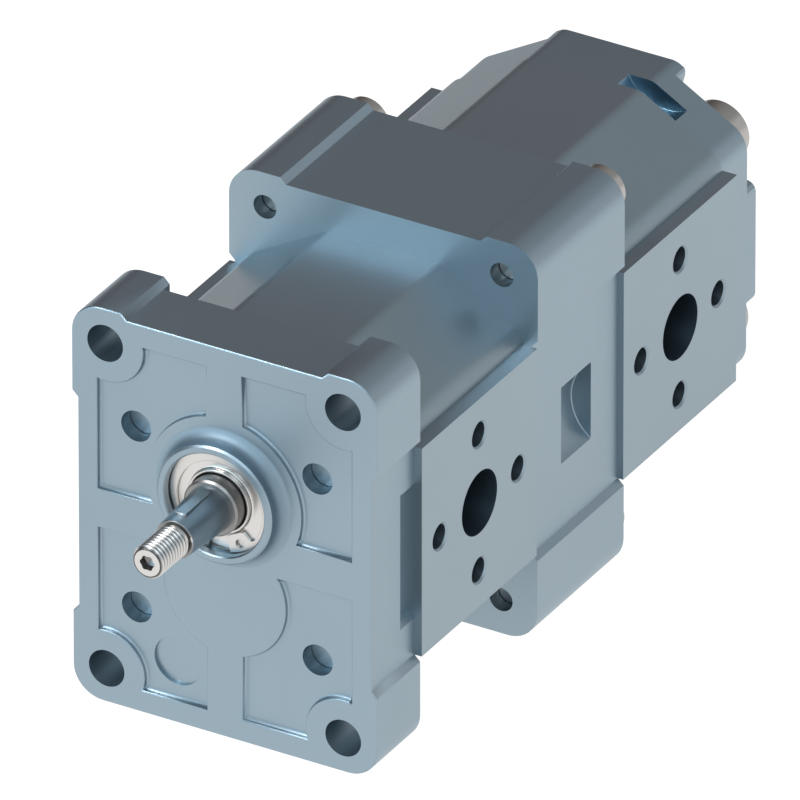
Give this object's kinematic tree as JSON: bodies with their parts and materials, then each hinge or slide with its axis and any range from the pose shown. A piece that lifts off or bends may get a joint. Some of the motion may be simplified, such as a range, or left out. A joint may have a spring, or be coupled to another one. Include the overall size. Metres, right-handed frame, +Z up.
{
  "type": "tandem gear pump",
  "caption": "Tandem external gear pump with a mounting flange, a tapered drive shaft, two gear sections and flanged side ports.",
  "frame": {"origin": "where the drive shaft's axis meets the front mounting face", "axes": "+Y runs along the pump from the mounting face to the rear cover, +Z is up, away from the idler gears, and +X points right, seen from the shaft end"},
  "size_m": [0.0684, 0.1855, 0.0869],
  "materials": {
    "cast_cover": "pale steel-blue satin casting",
    "cast_housing": "pale grey-blue satin casting",
    "seal_steel": "bright pressed steel",
    "seal_rubber": "black sealing rubber",
    "spring_steel": "spring steel wire",
    "ring_steel": "bright spring steel",
    "ground_steel": "ground steel, darker on the taper",
    "key_steel": "dark steel",
    "gear_steel": "hardened and ground steel",
    "coupling_steel": "plain turned steel",
    "bearing_alloy": "machined aluminium alloy",
    "liner_bronze": "bronze-faced bearing liner",
    "body_rubber": "black moulded rubber",
    "dowel_steel": "ground dowel steel",
    "bolt_steel": "bright machined screws"
  },
  "bodies": {
    "casing": {"front_cover": "cast_cover", "intermediate_cover": "cast_cover", "rear_flange": "cast_cover", "rear_cover": "cast_cover", "front_housing": "cast_housing", "rear_housing": "cast_housing", "seal_case": "seal_steel", "seal_lip": "seal_rubber", "seal_spring": "spring_steel", "retaining_ring": "ring_steel", "front_cover_bearing": "bearing_alloy", "front_inner_bearing": "bearing_alloy", "rear_inner_bearing": "bearing_alloy", "rear_cover_bearing": "bearing_alloy", "bearing_liners": "liner_bronze", "balance_seals": "body_rubber", "housing_seals": "body_rubber", "partition_seal": "seal_rubber", "pilot_seal": "body_rubber", "dowels": "dowel_steel", "front_tie_bolts": "bolt_steel", "rear_tie_bolts": "bolt_steel", "flange_screws": "bolt_steel"},
    "drive_line": {"drive_shaft": "ground_steel", "shaft_key": "key_steel"},
    "front_idler": {"front_idler_gear": "gear_steel"},
    "coupling_sleeve": {"coupling": "coupling_steel"},
    "rear_drive": {"rear_drive_gear": "gear_steel"},
    "rear_idler": {"rear_idler_gear": "gear_steel"}
  },
  "joints": [
    {"name": "drive_spin", "type": "hinge", "parent": "casing", "child": "drive_line", "pos_m": [0, 0.0384, 0], "axis": [0, 1, 0], "continuous": true},
    {"name": "front_idler_spin", "type": "hinge", "parent": "casing", "child": "front_idler", "pos_m": [0, 0.0384, -0.0215], "axis": [0, 1, 0], "continuous": true},
    {"name": "coupling_spin", "type": "hinge", "parent": "casing", "child": "coupling_sleeve", "pos_m": [0, 0.068, 0], "axis": [0, 1, 0], "continuous": true},
    {"name": "rear_drive_spin", "type": "hinge", "parent": "casing", "child": "rear_drive", "pos_m": [0, 0.1159, 0], "axis": [0, 1, 0], "continuous": true},
    {"name": "rear_idler_spin", "type": "hinge", "parent": "casing", "child": "rear_idler", "pos_m": [0, 0.1159, -0.0215], "axis": [0, 1, 0], "continuous": true}
  ],
  "couplings": [
    {"joint": "front_idler_spin", "follows": "drive_spin", "ratio": -1},
    {"joint": "coupling_spin", "follows": "drive_spin", "ratio": 1},
    {"joint": "rear_drive_spin", "follows": "drive_spin", "ratio": 1},
    {"joint": "rear_idler_spin", "follows": "drive_spin", "ratio": -1}
  ]
}
